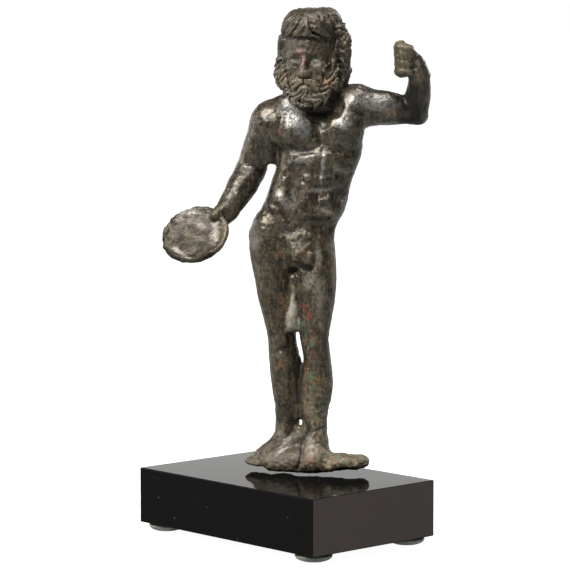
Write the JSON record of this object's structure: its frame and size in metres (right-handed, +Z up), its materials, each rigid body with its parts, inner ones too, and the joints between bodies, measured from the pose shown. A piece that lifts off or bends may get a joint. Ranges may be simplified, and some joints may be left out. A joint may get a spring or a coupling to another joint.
{
  "type": "roman bronze statuette of a standing god on a stone plinth",
  "caption": "Small solid bronze of a nude bearded god, dish in the lowered right hand and left arm raised with closed fist, standing on a polished black stone plinth with round rubber pads.",
  "frame": {"origin": "under the middle of the whole object's bounding box, on the surface that the pads stand on", "axes": "+Z up; the plinth's long sides run along X; -Y is the long side nearest the dish; the figure faces about halfway between -Y and +X"},
  "size_m": [0.07, 0.062, 0.1441],
  "materials": {
    "bronze": "solid cast bronze, worn dark patina with grey sheen and patches of red and green corrosion",
    "black_stone": "black stone polished to a mirror, with fine pale specks",
    "pad_rubber": "greyish milky soft pad"
  },
  "bodies": {
    "root": {"figure": "bronze", "plinth": "black_stone", "pad_front_left": "pad_rubber", "pad_front_right": "pad_rubber", "pad_back_left": "pad_rubber", "pad_back_right": "pad_rubber"}
  },
  "joints": []
}
